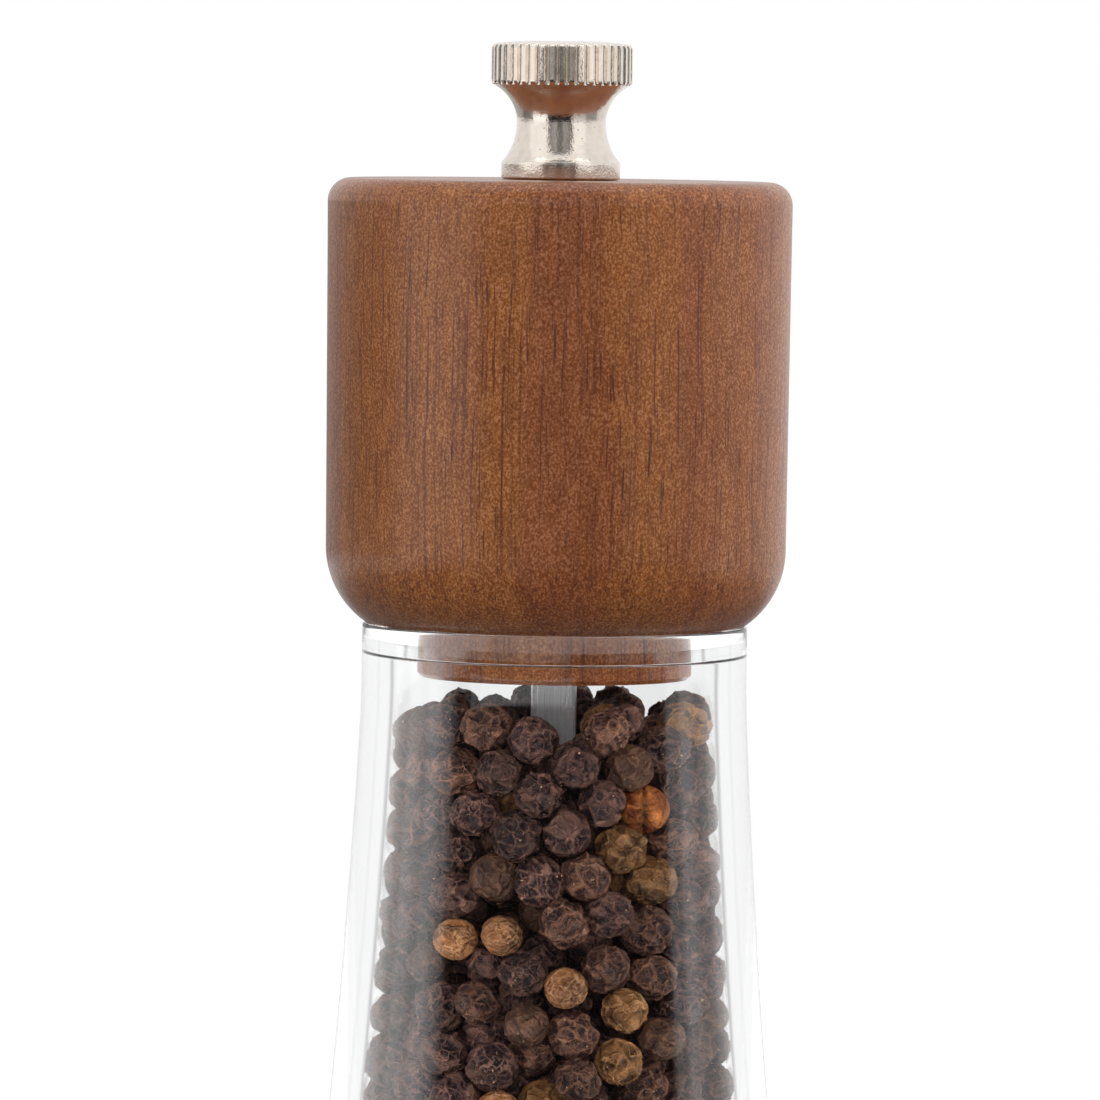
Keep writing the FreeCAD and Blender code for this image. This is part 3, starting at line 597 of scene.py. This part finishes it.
def settle(rng, count):
    """Centres and radii of corns packed between the floor, the bore, the shaft and the heap's surface."""
    radius = np.clip(rng.normal(2.42, 0.15, count), *CORN_RANGE)
    height = rng.uniform(CORN_FLOOR + 2.5, CORN_LID - 2.5, count)
    angle = rng.uniform(0, 2 * np.pi, count)
    spread = np.sqrt(rng.uniform(0.12, 1.0, count)) * (bore_radius(height) - radius)
    spots = np.stack([spread * np.cos(angle), spread * np.sin(angle), height], 1)
    across, height = np.array([note[:2] for note in NOTED]).T
    radius[:len(NOTED)] = np.where([note[2] == "tan" for note in NOTED], CORN_RANGE[0], radius[:len(NOTED)])
    ahead = bore_radius(height) - radius[:len(NOTED)] - 0.05
    placed = np.stack([across, -np.sqrt(ahead ** 2 - across ** 2), height], 1)
    for turn in range(60):
        gaps = np.linalg.norm(spots[:, None] - spots[None], axis=2)
        first, second = np.nonzero(np.triu(gaps < radius[:, None] + radius[None] + 0.9, 1))
        for _ in range(12):
            offset = spots[first] - spots[second]
            gap = np.linalg.norm(offset, axis=1) + 1e-9
            overlap = np.clip(radius[first] + radius[second] - gap, 0, None)
            push = offset / gap[:, None] * (overlap * 0.42)[:, None]
            for axis in range(3):
                spots[:, axis] += np.bincount(first, push[:, axis], count)
                spots[:, axis] -= np.bincount(second, push[:, axis], count)
            if turn < 50:
                spots[:, 2] -= 0.01
            reach = np.hypot(spots[:, 0], spots[:, 1]) + 1e-9
            limit = bore_radius(spots[:, 2]) - radius - 0.05
            kept = np.clip(reach, SHAFT_CLEARANCE + radius, limit)
            spots[:, :2] *= (kept / reach)[:, None]
            top = lid_height(spots[:, 0], spots[:, 1]) - radius
            spots[:, 2] = np.clip(spots[:, 2], CORN_FLOOR + radius, top)
            spots[:len(NOTED)] = placed
    return spots, radius


def unit_ball(subdivisions):
    shape = bmesh.new()
    bmesh.ops.create_icosphere(shape, subdivisions=subdivisions, radius=1.0)
    points = np.array([v.co for v in shape.verts])
    faces = np.array([[v.index for v in f.verts] for f in shape.faces])
    shape.free()
    return points / np.linalg.norm(points, axis=1)[:, None], faces


def random_turn(rng):
    """A random rotation matrix."""
    w, x, y, z = (lambda q: q / np.linalg.norm(q))(rng.normal(size=4))
    return np.array([
        [1 - 2 * (y * y + z * z), 2 * (x * y - z * w), 2 * (x * z + y * w)],
        [2 * (x * y + z * w), 1 - 2 * (x * x + z * z), 2 * (y * z - x * w)],
        [2 * (x * z - y * w), 2 * (y * z + x * w), 1 - 2 * (x * x + y * y)],
    ])


# Per kind: hollow colour, skin colour, ridge colour, relief, number of large dents, how wrinkled the skin is.
KINDS = {
    "black": ((0.0112, 0.0050, 0.0080), (0.0275, 0.0112, 0.0180), (0.310, 0.158, 0.118), 0.150, 22, 1.0),
    "brown": ((0.0200, 0.0086, 0.0095), (0.0600, 0.0240, 0.0225), (0.380, 0.185, 0.115), 0.130, 20, 0.95),
    "smooth": ((0.0450, 0.0200, 0.0155), (0.0900, 0.0420, 0.0290), (0.290, 0.148, 0.084), 0.050, 16, 0.5),
    "tan": ((0.100, 0.030, 0.0110), (0.430, 0.150, 0.045), (0.80, 0.450, 0.220), 0.045, 40, 0.5),
    "olive": ((0.0600, 0.0220, 0.0095), (0.3000, 0.1300, 0.0430), (0.600, 0.310, 0.125), 0.120, 18, 0.85),
    "husk": ((0.150, 0.030, 0.008), (0.500, 0.165, 0.036), (0.60, 0.215, 0.045), 0.020, 5, 0.12),
}
KIND_SHARE = (("black", 0.62), ("brown", 0.26), ("smooth", 0.06), ("tan", 0.03), ("olive", 0.03))


def wrinkled(rng, ball, radius, kind):
    """Points of one corn about its centre, and per point its skin colour with the wrinkling and with painted shade in
    its dents, and its crest colour.
    """
    hollow, skin, ridge_tint, ridge_height, cell_count, wrinkles = KINDS[kind]
    waves = rng.normal(size=(5, 3)) * 2.2
    phases = rng.uniform(0, 6.28, (5, 3))
    warped = ball.copy()
    for wave, phase in zip(waves, phases):
        warped += 0.075 * np.sin((ball @ wave)[:, None] * 1.7 + phase)
    seeds = rng.normal(size=(cell_count, 3))
    seeds /= np.linalg.norm(seeds, axis=1)[:, None]
    near = np.sort(np.linalg.norm(warped[:, None] - seeds[None], axis=2), axis=1)[:, :2]
    edge = near[:, 1] - near[:, 0]
    width = 0.095
    broken = 0.5 + 0.5 * np.sin(ball @ rng.normal(size=3) * 5 + rng.uniform(0, 6)) * np.sin(
        ball @ rng.normal(size=3) * 4 + rng.uniform(0, 6))
    strength = 0.35 + 0.65 * broken
    ridge = np.exp(-((edge / width) ** 2)) * strength
    sag = np.clip(edge / 0.45, 0, 1) ** 0.8
    lumps = np.zeros(len(ball))
    for _ in range(6):
        way = rng.normal(size=3)
        way /= np.linalg.norm(way)
        lumps += rng.uniform(-0.035, 0.035) * np.exp(-((1 - ball @ way) / 0.22))
    reach = 1.0 + ridge_height * (0.75 * ridge - 0.55 * sag) + lumps
    if kind in ("tan", "smooth"):
        stripe = np.sin(np.arctan2(ball[:, 1], ball[:, 0]) * 26 + 1.5 * np.sin(ball[:, 2] * 5))
        reach += 0.006 * stripe * (1 - ball[:, 2] ** 2)
        ridge = np.clip(ridge * 0.6 + 0.35 * np.clip(stripe, 0, 1) * (1 - ball[:, 2] ** 2), 0, 1)
    if kind == "husk":
        slit = np.abs(ball[:, 0]) / (0.24 * np.clip(1 - ball[:, 2] ** 2, 0.02, 1) + 0.04)
        opened = np.clip(1.15 - slit, 0, 1) * (ball[:, 1] < 0)
        reach -= 0.16 * opened ** 0.6
    squash = np.array([1.0, rng.uniform(0.95, 1.03), rng.uniform(0.93, 1.02)])
    points = ball * (reach * radius)[:, None] * squash
    tone = np.clip(ridge, 0, 1)[:, None]
    cloud = 0.5 + 0.5 * np.sin(ball @ rng.normal(size=3) * 2.2 + rng.uniform(0, 6))
    # Painted shade: the colour is a little lighter at the ridges and darker towards the sunken middle of each dent.
    shade = (np.array(hollow) * (1 - cloud[:, None]) + np.array(skin) * cloud[:, None]) * (1.1 - 0.35 * sag)[:, None]
    colour = shade * (1 - tone) + np.array(ridge_tint) * tone
    # Painted shade: the husk's open slit, which the mesh only dents slightly inward, is darkened as if deep in
    # shadow.
    if kind == "husk":
        colour *= (1 - 0.72 * opened ** 0.7)[:, None]
    light = rng.uniform(0.75, 1.3)
    amount = np.full((len(ball), 1), wrinkles)
    crest = np.tile([*(np.array(ridge_tint) * light), 1.0], (len(ball), 1))
    return points, np.concatenate([colour * light, amount], axis=1), crest


def coloured_mesh(name, parts, slot="peppercorn"):
    """One mesh from parts of (points, faces, skin, crest, own space), with their colours and space as attributes."""
    starts = np.cumsum([0] + [len(part[0]) for part in parts])
    vertices = np.concatenate([part[0] for part in parts])
    faces = np.concatenate([part[1] + start for part, start in zip(parts, starts)])
    mesh = bpy.data.meshes.new(name)
    mesh.from_pydata((vertices * MM).tolist(), [], faces.tolist())
    for title, column in (("skin", 2), ("crest", 3)):
        layer = mesh.attributes.new(title, "FLOAT_COLOR", "POINT")
        values = np.concatenate([part[column] for part in parts])
        layer.data.foreach_set("color", values.astype(np.float32).ravel())
    grain = mesh.attributes.new("grain", "FLOAT_VECTOR", "POINT")
    grain.data.foreach_set("vector", np.concatenate([part[4] for part in parts]).astype(np.float32).ravel())
    mesh.polygons.foreach_set("use_smooth", [True] * len(mesh.polygons))
    mesh.materials.append(MATERIALS[slot])
    made = bpy.data.objects.new(name, mesh)
    bpy.context.scene.collection.objects.link(made)
    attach(made, "stand")
    return made


def pick_kinds(rng, count):
    """A kind for each corn: the noted ones first, the others drawn at random."""
    names = [name for name, _ in KIND_SHARE]
    shares = np.array([share for _, share in KIND_SHARE])
    kinds = list(rng.choice(names, count, p=shares / shares.sum()))
    kinds[:len(NOTED)] = [kind for _, _, kind in NOTED]
    return kinds


def build_corns():
    rng = np.random.default_rng(SEED)
    spots, radius = settle(rng, 742)
    kinds = pick_kinds(rng, len(spots))
    reach = np.hypot(spots[:, 0], spots[:, 1])
    depth = bore_radius(spots[:, 2]) - radius - reach
    shown = (depth < 1.6) | (spots[:, 2] > CORN_LID - 6.5)
    fine_ball, fine_faces = unit_ball(5)
    plain_ball, plain_faces = unit_ball(4)
    for title, chosen, ball, faces, share in (
        ("peppercorns_outer", np.nonzero(shown)[0], fine_ball, fine_faces, 38),
        ("peppercorns_inner", np.nonzero(~shown)[0], plain_ball, plain_faces, 150),
    ):
        order = chosen[np.argsort(spots[chosen, 2])]
        for part, start in enumerate(range(0, len(order), share)):
            parts = []
            for index in order[start:start + share]:
                turn = np.eye(3) if kinds[index] == "husk" else random_turn(rng)
                points, skin, crest = wrinkled(rng, ball, radius[index], kinds[index])
                own = ball * radius[index] + rng.uniform(0, 500, 3)
                parts.append((keep_inside(points @ turn.T + spots[index]), faces, skin, crest, own))
            coloured_mesh(f"{title}_{part + 1:02d}", parts)
    build_dust(rng, spots, radius, shown)


def build_dust(rng, spots, radius, shown):
    """Flecks of husk and dust on the outer corns and on the chamber's wall."""
    ball, faces = unit_ball(1)
    chosen = np.nonzero(shown)[0]
    parts = []
    for _ in range(3600):
        index = chosen[rng.integers(len(chosen))]
        way = rng.normal(size=3)
        outward = np.array([spots[index, 0], spots[index, 1], 0.0])
        way += 1.3 * outward / np.linalg.norm(outward)
        way /= np.linalg.norm(way)
        centre = spots[index] + way * radius[index]
        limit = float(bore_radius(centre[2])) - 0.06
        reach = math.hypot(centre[0], centre[1])
        size = 0.042 + 0.080 * rng.uniform() ** 2
        if reach > limit or rng.uniform() < 0.3:
            centre[:2] *= limit / reach
            size = min(size, 0.052)
        centre[2] = min(centre[2], CORN_LID)
        shape = ball * size * rng.uniform(0.5, 1.4, (len(ball), 1)) * rng.uniform(0.5, 1.2, 3)
        tint = np.tile([*(np.array([0.85, 0.54, 0.31]) * rng.uniform(0.3, 1.3)), 0.0], (len(ball), 1))
        parts.append((shape + centre, faces, tint, tint, shape + centre))
    coloured_mesh("pepper_dust", parts)


# ------------------------------------------------------------------ stage, light and camera


def plain_material(name, colour, glow):
    made, tree, shader = material(name)
    feed(tree, shader, Base_Color=colour, Roughness=0.9, Emission_Color=(1.0, 1.0, 1.0), Emission_Strength=glow)
    return made


def build_floor():
    bpy.ops.mesh.primitive_circle_add(vertices=96, radius=0.65, fill_type="NGON")
    floor = bpy.context.object
    floor.name = "floor"
    floor.data.materials.append(plain_material("floor_paper", (0.86, 0.86, 0.86), 0.78))
    floor.visible_diffuse = False
    floor.visible_glossy = False


# The light tent as the gloss and the acrylic see it: azimuth to the right of the camera, and brightness.
TENT = (
    (-180, 0.95), (-134, 0.95), (-130, 0.55), (-126, 0.92), (-112, 0.80), (-106, 1.80), (-99, 1.55),
    (-94, 1.15), (-88, 1.60), (-76, 1.75), (-66, 0.015), (77, 0.015), (83, 1.40), (91, 1.05), (99, 0.90),
    (107, 0.35), (114, 0.50), (119, 0.90), (126, 0.92), (130, 0.55), (134, 0.95), (180, 0.95),
)
# The same well above the horizon.
TENT_TOP = ((-180, 0.94), (-72, 0.94), (-58, 0.20), (58, 0.20), (72, 0.94), (180, 0.94))


def tent_ramp(tree, turn, stops):
    """Brightness by azimuth, given as a turn from 0 to 1."""
    around = add_node(tree, "ShaderNodeValToRGB", i_Fac=turn)
    ramp = around.node.color_ramp
    ramp.interpolation = "EASE"
    ramp.elements[0].color = (stops[0][1],) * 3 + (1.0,)
    ramp.elements[1].color = (stops[-1][1],) * 3 + (1.0,)
    for angle, brightness in stops[1:-1]:
        ramp.elements.new(angle / 360 + 0.5).color = (brightness,) * 3 + (1.0,)
    return around


def azimuth_turn(tree, parts):
    """Azimuth to the right of the camera as a turn from 0 to 1, from the three parts of a direction or a place."""
    azimuth = calc(tree, "ARCTAN2", parts.outputs[0], calc(tree, "MULTIPLY", parts.outputs[1], -1.0))
    turn = calc(tree, "MULTIPLY_ADD", azimuth, 0.5 / math.pi)
    turn.node.inputs[2].default_value = 0.5
    return turn


def build_world():
    """White behind the object and to the eye, grey at the sides and dark on the camera's side, as in a light tent."""
    world = bpy.data.worlds.new("studio")
    bpy.context.scene.world = world
    world.use_nodes = True
    tree = world.node_tree
    background = tree.nodes["Background"]
    way = add_node(tree, "ShaderNodeTexCoord", out=0)
    parts = tree.nodes.new("ShaderNodeSeparateXYZ")
    tree.links.new(way, parts.inputs[0])
    turn = azimuth_turn(tree, parts)
    top = remap(tree, parts.outputs[2], 0.16, 0.40)
    low = remap(tree, parts.outputs[2], -0.14, -0.34)
    around = blend_colour(tree, top, tent_ramp(tree, turn, TENT), tent_ramp(tree, turn, TENT_TOP))
    around = blend_colour(tree, low, around, (0.22, 0.22, 0.22))
    path = tree.nodes.new("ShaderNodeLightPath")
    seen = calc(tree, "MAXIMUM", path.outputs["Is Camera Ray"], around)
    above = remap(tree, parts.outputs[2], -0.5, 0.4, 0.10, 0.42)
    spread = blend_colour(tree, path.outputs["Is Diffuse Ray"], seen, above)
    tree.links.new(spread, background.inputs["Color"])


def lamp(name, centre, aim, width, height, radiance, use="both"):
    """An area lamp with the given radiance, which the camera itself doesn't see. Millimetres.
    use is both, light (it only lights) or gloss (it only shows in reflections and through the acrylic)."""
    light = bpy.data.lights.new(name, "AREA")
    light.shape = "RECTANGLE"
    light.size = width * MM
    light.size_y = height * MM
    light.energy = radiance * math.pi * width * height * MM * MM
    made = bpy.data.objects.new(name, light)
    bpy.context.scene.collection.objects.link(made)
    made.location = Vector(centre) * MM
    way = (Vector(aim) - Vector(centre)) * MM
    made.rotation_euler = way.to_track_quat("-Z", "Y").to_euler()
    made.visible_camera = False
    if use == "light":
        made.visible_glossy = False
        made.visible_transmission = False
    if use == "gloss":
        made.visible_diffuse = False
    return made


def panel(name, first, last, low, high, distance, radiance, use="both"):
    """An upright lamp round the object from azimuth first to last, in degrees to the right of the camera."""
    middle, half = math.radians((first + last) / 2), math.radians(abs(last - first) / 2)
    height = (low + high) / 2
    centre = (distance * math.sin(middle), -distance * math.cos(middle), height)
    return lamp(name, centre, (0.0, 0.0, height), 2 * distance * math.tan(half), high - low, radiance,
                use)


# Cloths and windows round the head and round the nut, which only show in gloss: azimuth and brightness.
CLOTH_HEAD = (
    (-180, 0.80), (-172, 0.75), (-164, 0.44), (-122, 0.40), (-112, 0.16), (-80, 0.20), (-74, 1.30), (-40, 1.30),
    (-34, 0.015), (26, 0.015), (31, 0.62), (62, 0.62), (67, 0.30), (98, 0.34), (110, 0.80), (156, 0.85),
    (166, 0.90), (180, 0.80),
)
CLOTH_NUT = (
    (-180, 0.92), (-168, 0.88), (-88, 0.84), (-85, 1.04), (-36, 1.04), (-31, 0.16), (-16, 0.42), (-4, 0.10),
    (10, 0.38), (27, 0.14), (32, 1.05), (62, 1.05), (66, 0.88), (150, 0.92), (180, 0.92),
)
CLOTH_R = 112.0
CLOTH_SEAM = 148.5


def build_cloth(name, low, high, stops):
    """An upright cylinder of glowing cloth round the mill, which is only seen in reflections. Millimetres."""
    made, tree, shader = material(name)
    spot = add_node(tree, "ShaderNodeTexCoord", out=3)
    parts = tree.nodes.new("ShaderNodeSeparateXYZ")
    tree.links.new(spot, parts.inputs[0])
    glow = tent_ramp(tree, azimuth_turn(tree, parts), stops)
    feed(tree, shader, Base_Color=(0.0, 0.0, 0.0), Roughness=1.0, Specular_IOR_Level=0.0, Emission_Color=glow,
         Emission_Strength=1.0)
    steps = 128
    ring = [(CLOTH_R * MM * math.cos(2 * math.pi * i / steps), CLOTH_R * MM * math.sin(2 * math.pi * i / steps))
            for i in range(steps)]
    vertices = [(x, y, height * MM) for height in (low, high) for x, y in ring]
    faces = [(i, (i + 1) % steps, steps + (i + 1) % steps, steps + i) for i in range(steps)]
    mesh = bpy.data.meshes.new(name)
    mesh.from_pydata(vertices, [], faces)
    mesh.materials.append(made)
    cloth = bpy.data.objects.new(name, mesh)
    bpy.context.scene.collection.objects.link(cloth)
    cloth.visible_camera = False
    cloth.visible_diffuse = False
    cloth.visible_transmission = False
    cloth.visible_shadow = False


def build_lights():
    build_cloth("cloth_head", 100.0, CLOTH_SEAM, CLOTH_HEAD)
    build_cloth("cloth_nut", CLOTH_SEAM, 330.0, CLOTH_NUT)
    panel("side_left", -38, -82, 0, 420, 400, 1.05, "light")
    panel("side_right", 75, 122, 0, 420, 400, 3.3, "light")
    panel("low_gleam", -50, 12, -70, 60, 800, 0.85, "gloss")
    lamp("overhead", (0.0, -60.0, 700.0), (0.0, 0.0, 150.0), 560.0, 420.0, 0.8)
    lamp("front_fill", (0.0, -800.0, 420.0), (0.0, 0.0, 80.0), 900.0, 500.0, 2.9, "light")
    lamp("front_gleam", (0.0, -800.0, 560.0), (0.0, 0.0, 80.0), 420.0, 500.0, 1.2, "gloss")


CAMERA_DISTANCE = 800.0
EYE_HEIGHT = 158.9
AIM = (-0.6, 0.0, 112.0)
PICTURE_SIDE = 114.6
ROLL = 0.75


def build_camera():
    data = bpy.data.cameras.new("camera")
    data.sensor_width = 36.0
    data.lens = data.sensor_width * CAMERA_DISTANCE / PICTURE_SIDE
    data.clip_start = 0.05
    made = bpy.data.objects.new("camera", data)
    bpy.context.scene.collection.objects.link(made)
    made.location = Vector((AIM[0], -CAMERA_DISTANCE, EYE_HEIGHT)) * MM
    way = Vector(AIM) * MM - made.location
    made.rotation_euler = way.to_track_quat("-Z", "Y").to_euler()
    made.rotation_euler.rotate_axis("Z", math.radians(ROLL))
    bpy.context.scene.camera = made
    bpy.context.scene.view_settings.view_transform = "Standard"


dress_frame()
build_clear_body()
build_nut()
build_shaft()
build_spring()
build_corns()
build_floor()
build_world()
build_lights()
build_camera()
